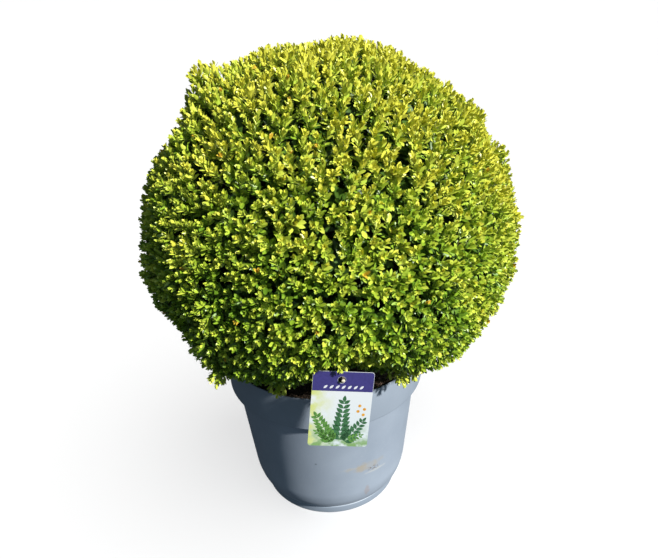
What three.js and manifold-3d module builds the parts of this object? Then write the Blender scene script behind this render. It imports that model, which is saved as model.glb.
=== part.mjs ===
// Clipped box ball in a round nursery pot, with a printed label hung on one of its twigs.
// Units are millimetres and +Z is up. The origin is the centre of the pot's flat underside,
// and the label is on the -Y side.
import * as THREE from "three";
import { mergeVertices } from "three/addons/utils/BufferGeometryUtils.js";
import Module from "manifold-3d";

const wasm = await Module();
wasm.setup();

// Clearance between pieces that touch
const GAP = 0.3;

// Pot: a tapered wall under a straight collar, curved in at the heel, on a low foot band
const POT_SIDES = 48;
const POT_HEIGHT = 344;
const RIM_RADIUS = 200;
const COLLAR_DEPTH = 70;
const COLLAR_STEP = 14;
const COLLAR_SLANT = 5;
const FOOT_RADIUS = 146;
const FOOT_HEIGHT = 15;
const POT_WALL = 3;
const POT_FLOOR = 4;
const EDGE = 2;
const DRAIN_COUNT = 6;
const DRAIN_RADIUS = 8;
const DRAIN_RING = 110;

// The heel of the pot, from just over the foot band up to the straight wall, as radii and heights
const HEEL = [
  [144, 17],
  [152.5, 25],
  [160, 39],
  [165.5, 60],
];
const NECK_RADIUS = HEEL[0][0];

// Soil: fills the pot to just under its rim, level where the trunk stands
const SOIL_BELOW_RIM = 12;
const SOIL_LUMP = 4;
const SOIL_RINGS = [172, 138, 104, 70];
const TRUNK_SEAT = 48;

// Trunk: one short stem with a fluted root flare
const TRUNK_SIDES = 16;
const TRUNK_HEIGHT = 51;
const TRUNK_RADIUS = 23;
const FLARE_RADIUS = 37;
const FLARE_HEIGHT = 26;
const FLUTES = 5;
const TRUNK_LEAN = new THREE.Vector2(0.08, -0.05);

// Crown: a ball that is a little flat, clipped away over the pot
const CROWN_CENTRE = new THREE.Vector3(19, 0, 581);
const CROWN_RADIUS = 340;
const CROWN_FLATTENING = 0.995;
const CROWN_WAVE = 4;
const CORE_DEPTH = 38;
const CORE_DETAIL = 5;
const BLEND = 9;

// The crown's underside, as heights above the rim at the rim's own radius, and slopes outwards
const BELLY_HEIGHT = 15;
const BELLY_SLOPE = 0.45;
const FRONT_STEEPER = 0.33;
const NOTCH_RISE = 52;
const NOTCH_WIDTH = 19;
const NOTCH_AZIMUTH = -84;
const SKIRT_HEIGHT = 16;

// Lumps and dips of the clipped outline, as seen from close in front, VIEW_PITCH above level.
// Each is at an angle clockwise from the top, in degrees, like its spread. So near, the outline
// lies on the near side of the ball, by VIEW_NEARNESS.
const VIEW_PITCH = 23;
const VIEW_NEARNESS = 15;
const LUMPS = [
  { angle: -122, rise: -30, spread: 6 },
  { angle: -103, rise: 11, spread: 7 },
  { angle: -55, rise: -34, spread: 5 },
  { angle: -37, rise: 31, spread: 5 },
  { angle: 15, rise: 4, spread: 10 },
  { angle: 33, rise: -14, spread: 6 },
  { angle: 54, rise: 14, spread: 4 },
  { angle: 70, rise: 12, spread: 5 },
  { angle: 95, rise: 9, spread: 10 },
  { angle: 119, rise: -7, spread: 4 },
];

// Shoots: each leaves the core, forks once, and bears a pair of leaves on either tip
const SEED = 20261;
const SHOOT_COUNT = 104;
const SHOOT_JITTER = 0.25;
const SHOOT_LIFT = 0.3;
const TWIG_SINK = 14;
const TWIG_RADIUS = 5;
const FORK_AT = 0.42;
const FORK_ANGLE = 58;
const FORK_LENGTH = 62;
const LEAF_LENGTH = 62;
const LEAF_WIDTH = 36;
const LEAF_THICKNESS = 3;
const LEAF_AT = 0.66;
const LEAF_SPREAD = 52;
const LEAF_SHRINK = 0.9;
const LEAF_SHORTEST = 26;
const HIDDEN_RADIUS = 110;
const CLEARANCE = 2;

// One low shoot hangs down over the rim on the left
const DROOP_FROM = new THREE.Vector3(-190, -150, 425);
const DROOP_TO = new THREE.Vector3(-198, -164, 366);
const DROOP_LEAF = 30;
const DROOP_PAIRS = [
  { at: 0.5, turn: 20 },
  { at: 0.85, turn: 110 },
];

// Stem of the crown, which stands on the trunk
const STEM_SIDES = 12;
const STEM_REACH = 60;

// Label: a stiff card that hangs in front of the pot, with a slot for the twig that carries it
const LABEL_WIDTH = 96.5;
const LABEL_HEIGHT = 135;
const LABEL_THICKNESS = 0.8;
const LABEL_CORNER = 4.5;
const LABEL_CENTRE = new THREE.Vector3(24.1, -295, 399.8);
const LABEL_AZIMUTH = 3;
const LABEL_TILT = 8;
const LABEL_ROLL = 7.6;
const SLOT_CENTRE = new THREE.Vector2(-2.6, 53);
const SLOT_HEIGHT = 11.5;
const SLOT_STRAIGHT = 1;
const LABEL_CLEARANCE = 4;

// Twig that carries the label: out of the core, down, and forward through the slot
const HOOK_RADIUS = 3;
const HOOK_SIDES = 8;
const HOOK_STEPS = 14;
const HOOK_SIDE = 1.6;
const HOOK_PROUD = 8;
const HOOK_RUN = 16;
const HOOK_DIP = new THREE.Vector3(26, -250, 458);
const HOOK_START = new THREE.Vector3(20, -215, 500);

const UP = new THREE.Vector3(0, 0, 1);
const WELD = 1e-4;

const material = (color, roughness) =>
  new THREE.MeshStandardMaterial({ color, roughness, metalness: 0 });

const radians = THREE.MathUtils.degToRad;

// Seeded random numbers from 0 to 1
function seeded(seed) {
  let state = seed >>> 0;
  return () => {
    state = (Math.imul(state, 1664525) + 1013904223) >>> 0;
    return state / 4294967296;
  };
}

// A closed geometry as a solid that can be cut and joined
function solidOf(geometry) {
  const bare = geometry.clone();
  bare.deleteAttribute("normal");
  bare.deleteAttribute("uv");
  const merged = mergeVertices(bare, WELD);
  const vertProperties = merged.attributes.position.array;
  const triVerts = new Uint32Array(merged.index.array);
  return new wasm.Manifold(new wasm.Mesh({ numProp: 3, vertProperties, triVerts }));
}

function geometryOf(solid) {
  const { vertProperties, triVerts } = solid.getMesh();
  const geometry = new THREE.BufferGeometry();
  geometry.setAttribute("position", new THREE.BufferAttribute(vertProperties, 3));
  geometry.setIndex(new THREE.BufferAttribute(triVerts, 1));
  geometry.computeVertexNormals();
  return geometry;
}

// Joins the solids two by two, so that the large ones are joined only a few times
function joinAll(solids) {
  let left = solids;
  while (left.length > 1) {
    const pairs = [];
    for (let i = 0; i < left.length; i += 2) {
      pairs.push(i + 1 < left.length ? left[i].add(left[i + 1]) : left[i]);
    }
    left = pairs;
  }
  return left[0];
}

// The largest shell of a solid: loose scraps are dropped and sealed hollows are filled
function largestPart(solid) {
  return solid.decompose().reduce((best, next) => (next.volume() > best.volume() ? next : best));
}

function named(name, geometry, color, roughness) {
  const mesh = new THREE.Mesh(geometry, material(color, roughness));
  mesh.name = name;
  return mesh;
}

// A profile of [radius, height] points, turned about the upright axis
function turned(profile, sides) {
  const points = profile.map(([radius, height]) => new THREE.Vector2(radius, height));
  return new THREE.LatheGeometry(points, sides).rotateX(Math.PI / 2);
}

// Moves each point of a geometry by a function of its place
function reshape(geometry, move) {
  const position = geometry.attributes.position;
  const point = new THREE.Vector3();
  for (let i = 0; i < position.count; i += 1) {
    point.fromBufferAttribute(position, i);
    move(point);
    position.setXYZ(i, point.x, point.y, point.z);
  }
  return geometry;
}

// The pot's wall from the neck over the foot band to the rim, set in by a distance
function wallProfile(inset) {
  const wallTop = POT_HEIGHT - COLLAR_DEPTH;
  return [
    ...HEEL.map(([radius, height]) => [radius - inset, height]),
    [RIM_RADIUS - COLLAR_STEP - inset, wallTop - COLLAR_SLANT],
    [RIM_RADIUS - inset, wallTop],
  ];
}

function potSolid() {
  const outside = [
    [0, 0],
    [FOOT_RADIUS - EDGE, 0],
    [FOOT_RADIUS, EDGE],
    [FOOT_RADIUS, FOOT_HEIGHT],
    ...wallProfile(0),
    [RIM_RADIUS, POT_HEIGHT - EDGE],
    [RIM_RADIUS - 1, POT_HEIGHT],
  ];
  const inside = [
    [0, POT_FLOOR],
    [NECK_RADIUS - POT_WALL, POT_FLOOR],
    ...wallProfile(POT_WALL),
    [RIM_RADIUS - POT_WALL, POT_HEIGHT],
  ];
  const wall = solidOf(turned([...outside, ...inside.reverse()], POT_SIDES));
  const drains = Array.from({ length: DRAIN_COUNT }, (_, i) => {
    const angle = (i * 2 * Math.PI) / DRAIN_COUNT;
    const drain = new THREE.CylinderGeometry(DRAIN_RADIUS, DRAIN_RADIUS, 4 * POT_FLOOR, 12);
    drain.rotateX(Math.PI / 2);
    drain.translate(DRAIN_RING * Math.cos(angle), DRAIN_RING * Math.sin(angle), 0);
    return solidOf(drain);
  });
  return drains.reduce((pot, drain) => pot.subtract(drain), wall);
}

// Height of the soil's lumps, which die away towards the trunk's seat
function soilLump(point) {
  const distance = Math.hypot(point.x, point.y);
  const fade = THREE.MathUtils.smoothstep(distance, TRUNK_SEAT, TRUNK_SEAT + 30);
  const lump = Math.sin(point.x / 17) * Math.cos(point.y / 21) + Math.sin((point.x + point.y) / 31);
  return fade * SOIL_LUMP * 0.5 * lump;
}

function soilGeometry() {
  const top = POT_HEIGHT - SOIL_BELOW_RIM;
  const edge = RIM_RADIUS - POT_WALL - GAP;
  const profile = [
    [0, POT_FLOOR + GAP],
    [NECK_RADIUS - POT_WALL - GAP, POT_FLOOR + GAP],
    ...wallProfile(POT_WALL + GAP),
    [edge, top],
    ...SOIL_RINGS.map((radius) => [radius, top]),
    [TRUNK_SEAT, top],
    [0, top],
  ];
  return reshape(turned(profile, POT_SIDES), (point) => {
    if (point.z > top - 1) {
      point.z += soilLump(point);
    }
  });
}

function trunkGeometry() {
  const foot = POT_HEIGHT - SOIL_BELOW_RIM + GAP;
  const profile = [
    [0, 0],
    [FLARE_RADIUS, 0],
    [(FLARE_RADIUS + 2 * TRUNK_RADIUS) / 3, FLARE_HEIGHT / 2],
    [TRUNK_RADIUS + 1, FLARE_HEIGHT],
    [TRUNK_RADIUS, TRUNK_HEIGHT],
    [0, TRUNK_HEIGHT],
  ];
  return reshape(turned(profile, TRUNK_SIDES), (point) => {
    const flare = Math.max(0, 1 - point.z / FLARE_HEIGHT);
    const flute = 1 + 0.14 * flare * Math.cos(FLUTES * Math.atan2(point.y, point.x));
    point.x = point.x * flute + TRUNK_LEAN.x * point.z;
    point.y = point.y * flute + TRUNK_LEAN.y * point.z;
    point.z += foot;
  });
}

// Direction from the crown's centre to a place on the outline that the front view shows
function outlineDirection(angle) {
  const spread = Math.cos(radians(VIEW_NEARNESS));
  const across = spread * Math.sin(radians(angle));
  const rise = spread * Math.cos(radians(angle));
  const direction = new THREE.Vector3(across, -Math.sin(radians(VIEW_NEARNESS)), rise);
  return direction.applyAxisAngle(new THREE.Vector3(1, 0, 0), -radians(VIEW_PITCH));
}

const lumps = LUMPS.map((lump) => ({ ...lump, toward: outlineDirection(lump.angle) }));

// Distance from the crown's centre to the clipped ball, before it is cut away over the pot
function ballRadius(direction) {
  const { x, y, z } = direction;
  const ball = CROWN_RADIUS / Math.hypot(x, y, z / CROWN_FLATTENING);
  const wave = CROWN_WAVE * Math.sin(7 * x + 2) * Math.cos(6 * y - 4 * z);
  const lumpy = lumps.reduce((sum, { toward, rise, spread }) => {
    const away = THREE.MathUtils.radToDeg(direction.angleTo(toward));
    return sum + rise * Math.exp(-0.5 * (away / spread) ** 2);
  }, 0);
  return ball + wave + lumpy;
}

// Distance to the slanting underside that the crown has over the pot
function bellyRadius(direction) {
  const level = Math.hypot(direction.x, direction.y);
  const front = level > 0 ? Math.max(0, -direction.y / level) ** 2 : 0;
  const azimuth = THREE.MathUtils.radToDeg(Math.atan2(direction.y, direction.x));
  const notch = Math.exp(-(((azimuth - NOTCH_AZIMUTH) / NOTCH_WIDTH) ** 2));
  const height = BELLY_HEIGHT + NOTCH_RISE * notch;
  const slope = BELLY_SLOPE + FRONT_STEEPER * front;
  const fall = slope * level - direction.z;
  const drop = CROWN_CENTRE.z - POT_HEIGHT - height + slope * RIM_RADIUS;
  return fall > 0.01 ? drop / fall : Infinity;
}

// Distance to the level underside just over the soil
function skirtRadius(direction) {
  const drop = CROWN_CENTRE.z - POT_HEIGHT - SKIRT_HEIGHT;
  return direction.z < -0.01 ? drop / -direction.z : Infinity;
}

// Distance from the crown's centre to its surface: the least of the three, with the edges eased
function crownRadius(direction) {
  const radii = [ballRadius(direction), bellyRadius(direction), skirtRadius(direction)];
  return -BLEND * Math.log(radii.reduce((sum, radius) => sum + Math.exp(-radius / BLEND), 0));
}

const coreRadius = (direction) => crownRadius(direction) - CORE_DEPTH;

function insideCrown(point) {
  const out = point.clone().sub(CROWN_CENTRE);
  const distance = out.length();
  return distance <= crownRadius(out.normalize());
}

// Directions that are spread evenly over a ball, each moved a little at random
function* evenDirections(count, random) {
  const turn = Math.PI * (3 - Math.sqrt(5));
  const jitter = SHOOT_JITTER * Math.sqrt((4 * Math.PI) / count);
  for (let i = 0; i < count; i += 1) {
    const z = 1 - (2 * i + 1) / count;
    const level = Math.sqrt(1 - z * z);
    const direction = new THREE.Vector3(level * Math.cos(i * turn), level * Math.sin(i * turn), z);
    direction.x += jitter * (2 * random() - 1);
    direction.y += jitter * (2 * random() - 1);
    direction.z += jitter * (2 * random() - 1);
    yield direction.normalize();
  }
}

// Turn that lays +Y along a direction, with +Z as near as can be to a second one
function frameAlong(along, facing) {
  const side = along.clone().cross(facing).normalize();
  const face = side.clone().cross(along).normalize();
  return new THREE.Matrix4().makeBasis(side, along, face);
}

// A three-sided twig from one point to another, sharp at its tip
function twigSolid(from, to) {
  const along = to.clone().sub(from);
  const length = along.length();
  const cone = new THREE.ConeGeometry(TWIG_RADIUS, length, 3).translate(0, length / 2, 0);
  const facing = Math.abs(along.z) < 0.9 * length ? UP : new THREE.Vector3(1, 0, 0);
  cone.applyMatrix4(frameAlong(along.normalize(), facing).setPosition(from));
  return solidOf(cone);
}

// A pointed leaf of eight faces, with its root at a point in the middle of a twig
function leafSolid(root, along, facing, length) {
  const leaf = new THREE.OctahedronGeometry(1);
  const width = (LEAF_WIDTH * length) / LEAF_LENGTH;
  leaf.scale(width / 2, length / 2, LEAF_THICKNESS / 2).translate(0, length / 2, 0);
  leaf.applyMatrix4(frameAlong(along, facing).setPosition(root));
  return solidOf(leaf);
}

// A direction square to an axis, turned round it by an angle
function squareTo(axis, angle) {
  const helper = Math.abs(axis.z) < 0.9 ? UP : new THREE.Vector3(1, 0, 0);
  return axis.clone().cross(helper).normalize().applyAxisAngle(axis, angle);
}

// Two leaves across from each other on a twig, each shortened until it is in the crown
function leafPair(from, to, across) {
  const axis = to.clone().sub(from).normalize();
  const spread = radians(LEAF_SPREAD);
  const root = from.clone().lerp(to, LEAF_AT);
  return [1, -1].flatMap((side) => {
    const along = axis.clone().multiplyScalar(Math.cos(spread));
    along.addScaledVector(across, side * Math.sin(spread));
    let length = LEAF_LENGTH;
    while (length > LEAF_SHORTEST && !insideCrown(root.clone().addScaledVector(along, length))) {
      length *= LEAF_SHRINK;
    }
    return length > LEAF_SHORTEST ? [leafSolid(root, along, axis, length)] : [];
  });
}

// A shoot: a twig with a leaf pair, and a second twig that forks from it with its own pair
function shootSolids(from, to, random) {
  const axis = to.clone().sub(from).normalize();
  const fork = from.clone().lerp(to, FORK_AT);
  const hinge = squareTo(axis, 2 * Math.PI * random());
  const sideAxis = axis.clone().applyAxisAngle(hinge, radians(FORK_ANGLE));
  const sideTip = fork.clone().addScaledVector(sideAxis, FORK_LENGTH);
  return [
    twigSolid(from, to),
    twigSolid(fork, sideTip),
    ...leafPair(from, to, hinge),
    ...leafPair(fork, sideTip, hinge),
  ];
}

// Whether two solids meet, with a quick look at their boxes first
function meet(one, other) {
  const a = one.boundingBox();
  const b = other.boundingBox();
  const apart = a.min.some((low, i) => low > b.max[i] || b.min[i] > a.max[i]);
  return !apart && !one.intersect(other).isEmpty();
}

// The pieces of the shoot that hangs down on the left
function droopSolids() {
  const droop = DROOP_TO.clone().sub(DROOP_FROM).normalize();
  const leaves = DROOP_PAIRS.flatMap(({ at, turn }) => {
    const root = DROOP_FROM.clone().lerp(DROOP_TO, at);
    return [1, -1].map((side) => {
      const across = squareTo(droop, radians(turn)).multiplyScalar(side);
      return leafSolid(root, droop.clone().add(across).normalize(), droop, DROOP_LEAF);
    });
  });
  return [twigSolid(DROOP_FROM, DROOP_TO), ...leaves];
}

// The shoots all over the crown: a piece that meets an earlier shoot or a space kept free is left out
function crownShoots(keptFree) {
  const random = seeded(SEED);
  const tipDepth = LEAF_LENGTH * Math.cos(radians(LEAF_SPREAD));
  const placed = [];
  const place = (pieces) => {
    const clear = pieces.filter((piece) => ![...keptFree, ...placed].some((other) => meet(piece, other)));
    placed.push(...clear);
  };
  place(droopSolids());
  for (const direction of evenDirections(SHOOT_COUNT, random)) {
    const surface = crownRadius(direction);
    const head = CROWN_CENTRE.clone().addScaledVector(direction, surface);
    const overSoil = head.z < POT_HEIGHT + 2 * SKIRT_HEIGHT;
    if (!(overSoil && Math.hypot(head.x, head.y) < HIDDEN_RADIUS)) {
      const root = coreRadius(direction) - TWIG_SINK;
      const from = CROWN_CENTRE.clone().addScaledVector(direction, root);
      const lift = SHOOT_LIFT * THREE.MathUtils.clamp(direction.z + 0.5, 0, 1);
      const axis = direction.clone().addScaledVector(UP, lift).normalize();
      const length = (surface - tipDepth - root) / LEAF_AT;
      place(shootSolids(from, from.clone().addScaledVector(axis, length), random));
    }
  }
  return placed;
}

function coreSolid() {
  const core = new THREE.IcosahedronGeometry(1, CORE_DETAIL);
  reshape(core, (point) => {
    const direction = point.clone().normalize();
    point.copy(CROWN_CENTRE).addScaledVector(direction, coreRadius(direction));
  });
  return solidOf(core);
}

// The crown's own stem, from just over the trunk's top into the core
function stemSolid() {
  const foot = POT_HEIGHT - SOIL_BELOW_RIM + TRUNK_HEIGHT + 2 * GAP;
  const stem = new THREE.CylinderGeometry(TRUNK_RADIUS, TRUNK_RADIUS, STEM_REACH, STEM_SIDES);
  stem.rotateX(Math.PI / 2);
  stem.translate(TRUNK_LEAN.x * TRUNK_HEIGHT, TRUNK_LEAN.y * TRUNK_HEIGHT, foot + STEM_REACH / 2);
  return solidOf(stem);
}

// A group at the label's middle whose +X runs along the label, +Y up it and +Z out of its face
function labelSeat() {
  const azimuth = radians(LABEL_AZIMUTH);
  const tilt = radians(LABEL_TILT);
  const outward = new THREE.Vector3(Math.sin(azimuth), -Math.cos(azimuth), 0);
  const side = new THREE.Vector3(Math.cos(azimuth), Math.sin(azimuth), 0);
  const up = UP.clone().multiplyScalar(Math.cos(tilt)).addScaledVector(outward, -Math.sin(tilt));
  const face = side.clone().cross(up);
  const seat = new THREE.Group();
  seat.setRotationFromMatrix(new THREE.Matrix4().makeBasis(side, up, face));
  seat.position.copy(LABEL_CENTRE);
  seat.rotateZ(-radians(LABEL_ROLL));
  seat.updateMatrixWorld(true);
  return seat;
}

function labelOutline(margin) {
  const right = LABEL_WIDTH / 2 + margin;
  const top = LABEL_HEIGHT / 2 + margin;
  const bottom = -top;
  const shape = new THREE.Shape();
  shape.absarc(right - LABEL_CORNER, top - LABEL_CORNER, LABEL_CORNER, 0, Math.PI / 2);
  shape.absarc(-right + LABEL_CORNER, top - LABEL_CORNER, LABEL_CORNER, Math.PI / 2, Math.PI);
  shape.absarc(-right + LABEL_CORNER, bottom + LABEL_CORNER, LABEL_CORNER, Math.PI, 1.5 * Math.PI);
  shape.absarc(right - LABEL_CORNER, bottom + LABEL_CORNER, LABEL_CORNER, 1.5 * Math.PI, 2 * Math.PI);
  return shape;
}

function labelGeometry() {
  const shape = labelOutline(0);
  const slot = new THREE.Path();
  const { x, y } = SLOT_CENTRE;
  slot.absarc(x + SLOT_STRAIGHT / 2, y, SLOT_HEIGHT / 2, -Math.PI / 2, Math.PI / 2);
  slot.absarc(x - SLOT_STRAIGHT / 2, y, SLOT_HEIGHT / 2, Math.PI / 2, 1.5 * Math.PI);
  shape.holes.push(slot);
  return new THREE.ExtrudeGeometry(shape, {
    depth: LABEL_THICKNESS,
    bevelEnabled: false,
    curveSegments: 6,
  });
}

// The space round the label that twigs and leaves keep out of
function labelSpace(seat) {
  const depth = LABEL_THICKNESS + 2 * LABEL_CLEARANCE;
  const block = new THREE.ExtrudeGeometry(labelOutline(LABEL_CLEARANCE), {
    depth,
    bevelEnabled: false,
    curveSegments: 2,
  });
  block.translate(0, 0, -LABEL_CLEARANCE).applyMatrix4(seat.matrixWorld);
  return solidOf(block);
}

// The space that the pot, the soil and the trunk take, with a little clearance
function potSpace() {
  const base = new THREE.CylinderGeometry(
    RIM_RADIUS + CLEARANCE,
    FOOT_RADIUS + CLEARANCE,
    POT_HEIGHT + CLEARANCE,
    POT_SIDES,
  );
  base.rotateX(Math.PI / 2).translate(0, 0, (POT_HEIGHT + CLEARANCE) / 2);
  return solidOf(base);
}

// The twig whose end goes through the label's slot and carries it
function hookSolid(seat) {
  const top = SLOT_CENTRE.y + SLOT_HEIGHT / 2 - GAP - HOOK_RADIUS;
  const across = SLOT_CENTRE.x + HOOK_SIDE;
  const onLabel = (out) => new THREE.Vector3(across, top, out).applyMatrix4(seat.matrixWorld);
  const path = new THREE.CatmullRomCurve3([
    HOOK_START,
    HOOK_DIP,
    onLabel(-HOOK_RUN),
    onLabel(0),
    onLabel(HOOK_PROUD),
  ]);
  const section = new THREE.Shape();
  for (let i = 0; i < HOOK_SIDES; i += 1) {
    const angle = (2 * Math.PI * i) / HOOK_SIDES;
    const corner = [HOOK_RADIUS * Math.cos(angle), HOOK_RADIUS * Math.sin(angle)];
    if (i === 0) {
      section.moveTo(...corner);
    } else {
      section.lineTo(...corner);
    }
  }
  return solidOf(
    new THREE.ExtrudeGeometry(section, { steps: HOOK_STEPS, extrudePath: path, bevelEnabled: false }),
  );
}

function foliageGeometry(seat) {
  const shoots = crownShoots([potSpace(), labelSpace(seat)]);
  const crown = joinAll([coreSolid(), stemSolid(), hookSolid(seat), ...shoots]);
  return geometryOf(largestPart(crown));
}

const seat = labelSeat();
seat.add(named("label", labelGeometry(), 0x5a5cae, 0.4));

const plant = new THREE.Group();
plant.add(named("pot", geometryOf(potSolid()), 0x8494a6, 0.55));
plant.add(named("soil", soilGeometry(), 0x4f3b2c, 1));
plant.add(named("trunk", trunkGeometry(), 0x7c6a4e, 0.9));
plant.add(named("foliage", foliageGeometry(seat), 0x7fa62b, 0.6));
plant.add(seat);

export default plant;
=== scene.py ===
import math

import bpy
import numpy as np
from mathutils import Matrix, Vector, noise


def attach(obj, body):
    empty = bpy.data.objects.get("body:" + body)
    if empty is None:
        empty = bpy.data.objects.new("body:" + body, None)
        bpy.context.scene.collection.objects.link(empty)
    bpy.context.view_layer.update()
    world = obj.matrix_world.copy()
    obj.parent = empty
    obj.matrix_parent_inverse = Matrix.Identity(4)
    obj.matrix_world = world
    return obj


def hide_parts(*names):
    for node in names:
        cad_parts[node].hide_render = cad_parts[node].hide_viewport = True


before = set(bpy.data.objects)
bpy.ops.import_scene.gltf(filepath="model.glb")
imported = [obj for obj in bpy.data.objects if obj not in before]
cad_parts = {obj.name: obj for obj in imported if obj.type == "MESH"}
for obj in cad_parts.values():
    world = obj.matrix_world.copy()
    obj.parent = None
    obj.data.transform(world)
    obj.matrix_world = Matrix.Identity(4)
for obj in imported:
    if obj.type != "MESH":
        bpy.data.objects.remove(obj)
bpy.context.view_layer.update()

MM = 0.001
SEED = 4127

# Pot
POT_SIDES = 160
POT_HEIGHT = 344
RIM_RADIUS = 200
COLLAR_BOTTOM = 274
COLLAR_UNDER = 269
SHOULDER_RADIUS = 186
FOOT_RADIUS = 146
FOOT_HEIGHT = 15
POT_WALL = 3
POT_FLOOR = 4
DRAIN_COUNT = 6
DRAIN_RADIUS = 8
DRAIN_RING = 110

# The heel of the pot, from the foot band up to the straight wall: radius, height and rounding
HEEL = [
    (144, 17, 0.8),
    (152.5, 25, 30),
    (160, 39, 60),
    (165.5, 60, 120),
]

# Marks on the pot: degrees to the right of the front, height, half length, half width, the
# angle that the mark rises to the right, and how ragged its edge is
MUD_SMEAR = (25, 139, 46, 13, -1, 0.28)
MUD_STREAK = (16, 142, 30, 5, 3, 0.35)
MUD_EDGE = (31, 117, 34, 4, 1, 0.3)
MUD_SPECKS = (30, 126, 17, 8, 6, 0.3)
MUD_STAIN = (26, 66, 6, 20, 0, 0.5)
MUD_SPOT = (-9, 166, 2.4, 2.4, 0, 0.1)

# Soil
SOIL_GAP = 0.3
SOIL_TOP = 332
SOIL_RINGS = 70
SOIL_SIDES = 160
SOIL_LUMP = 2
SOIL_GRAIN = 2.2
SOIL_FADE = 30
# Where the soil is painted paler to the right of the label, as painted sunlight
PAINTED_LIGHT_FROM = 40
PAINTED_LIGHT_TO = 80
CRUMB_COUNT = 1500
CRUMB_SIZES = (1.0, 3.2)
CRUMB_SHAPE = np.array([1.4, 0.9, 0.55])
TRUNK_SEAT = 48

# Trunk
TRUNK_FOOT = 332.3
TRUNK_HEIGHT = 51
TRUNK_RADIUS = 23
FLARE_RADIUS = 37
FLARE_HEIGHT = 26
FLUTES = 5
FLUTE_DEPTH = 0.14
RIDGE_HEIGHT = 1.3
TRUNK_LEAN = (0.08, -0.05)
TRUNK_SIDES = 90
TRUNK_RINGS = 44
STEM_TOP = 450
STEM_TIP_RADIUS = 13

# Crown: a clipped ball, cut away over the pot
CROWN_CENTRE = np.array([19.0, 0.0, 581.0])
CROWN_RADIUS = 340
CROWN_FLATTENING = 0.995
CROWN_WAVE = 4
BLEND = 9
BELLY_HEIGHT = 15
BELLY_SLOPE = 0.45
FRONT_STEEPER = 0.33
NOTCH_RISE = 52
NOTCH_WIDTH = 19
NOTCH_AZIMUTH = -84
SKIRT_HEIGHT = 16

# Lumps and dips of the clipped outline: angle clockwise from the top as seen from in front,
# rise, and spread in degrees
VIEW_PITCH = 23
VIEW_NEARNESS = 15
LUMPS = [
    (-122, -30, 6),
    (-103, 11, 7),
    (-55, -34, 5),
    (-37, 31, 5),
    (15, 4, 10),
    (33, -14, 6),
    (54, 14, 4),
    (70, 12, 5),
    (95, 9, 10),
    (119, -7, 4),
]

# Sprays: each is a stem that forks into a few shoots, whose tips end near the clipped surface
SPRAY_COUNT = 1500
SHOOT_COUNT = 5800
SPRAY_JITTER = 0.42
SPRAY_WANDER = 0.2
GROWTH_LIFT = 0.5
FORK_DEPTH = 40
FORK_SINK = 4
FOOT_SCATTER = 4
TIP_SCATTER = 5.5
CLUMP_DEPTH = 8
CLUMP_SIZE = 45
TIP_DEPTH = 1
HIDDEN_RADIUS = 110

# Where the underside is clipped closer, so that the rim shows: azimuth, width, depth, and the
# upright part of the directions below which it is
TRIM_AZIMUTH = -40
TRIM_WIDTH = 15
TRIM_DEPTH = 16
TRIM_BELOW = -0.55

# Leaves of a shoot from its tip down: distance of each pair, leaf length, and angle to the shoot
LEAF_PAIRS = [
    (0.5, 8, 9),
    (3, 10.5, 15),
    (6.5, 12.5, 22),
    (10.5, 13.5, 30),
    (15, 14, 38),
    (20.5, 14.5, 46),
    (27, 14.5, 53),
    (34, 14.5, 60),
]
TOP_OPENNESS = 0.78
LOW_OPENNESS = 1.12
SHOOT_SIZES = (0.85, 1.15)
LEAF_SIZES = (0.86, 1.12)
LEAF_SCATTER = 0.1
LEAF_UPTURN = 0.12
FACING_SCATTER = 0.22
LEAF_BREADTH = 0.46
BREADTH_RANGE = (0.88, 1.12)
LEAF_FOLD = 0.24
LEAF_CURL = 0.12
LEAVES_PER_PIECE = 24000

# The right edge of a leaf from root to tip: along the leaf, and across it
LEAF_EDGE = [(0.2, 0.31), (0.54, 0.5), (0.83, 0.36)]
INNER_EDGE = [(0.52, 0.5)]

# Older leaves on the stems inside: distances below the fork
INNER_DISTANCES = [3, 9, 16, 24, 33, 43, 54]
INNER_LENGTH = 18
INNER_ANGLE = 62
INNER_COLOR = 5

# Old leaves between the boughs: how many, how deep, and their lengths
OLD_COUNT = 15000
OLD_DEPTHS = (38, 95)
OLD_LENGTH = 28
OLD_SIZES = (0.8, 1.2)
OLD_LIFT = 0.6
OLD_SCATTER = 0.45

# Boughs in three orders: how many, how far out, and their radius at the foot and at the tip
BOUGH_ORDERS = [
    (16, 0.40, 8.0, 4.5),
    (100, 0.64, 4.2, 2.4),
    (480, 0.80, 2.3, 1.4),
]
BOUGH_JITTER = 0.3
BOUGH_BOW = 0.45
BOUGH_CLEARANCE = 35
STEM_RADIUS = 1.1
SHOOT_RADIUS = 0.8

# Low shoots that hang out over the pot: the foot and the tip of each
LOW_SHOOTS = [
    ((-160, -226, 464), (-181, -250, 436)),
    ((-157, -226, 458), (-174, -252, 427)),
    ((-165, -220, 462), (-186, -242, 434)),
    ((-178, -180, 430), (-186, -196, 402)),
    ((-172, -196, 436), (-181, -212, 410)),
    ((-166, -206, 440), (-173, -222, 412)),
    ((-186, -176, 430), (-195, -192, 398)),
    ((-165, -188, 424), (-172, -205, 400)),
    ((-80, -188, 412), (-84, -206, 366)),
    ((-90, -188, 412), (-95, -206, 376)),
    ((-70, -190, 412), (-73, -206, 372)),
    ((-78, -184, 405), (-80, -197, 374)),
    ((-14, -205, 428), (-12, -228, 392)),
    ((0, -205, 430), (4, -232, 388)),
    ((18, -205, 430), (22, -234, 386)),
    ((34, -205, 432), (38, -236, 386)),
    ((106, -190, 430), (113, -205, 393)),
    ((118, -188, 420), (127, -205, 379)),
    ((128, -188, 418), (137, -205, 374)),
    ((134, -180, 415), (143, -196, 376)),
    ((112, -222, 446), (122, -240, 409)),
    ((120, -218, 442), (131, -234, 402)),
    ((128, -214, 440), (140, -232, 404)),
    ((134, -222, 448), (147, -240, 414)),
    ((122, -228, 450), (133, -246, 417)),
    ((142, -206, 440), (155, -222, 408)),
]
LOW_TONE = 0.46

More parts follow.
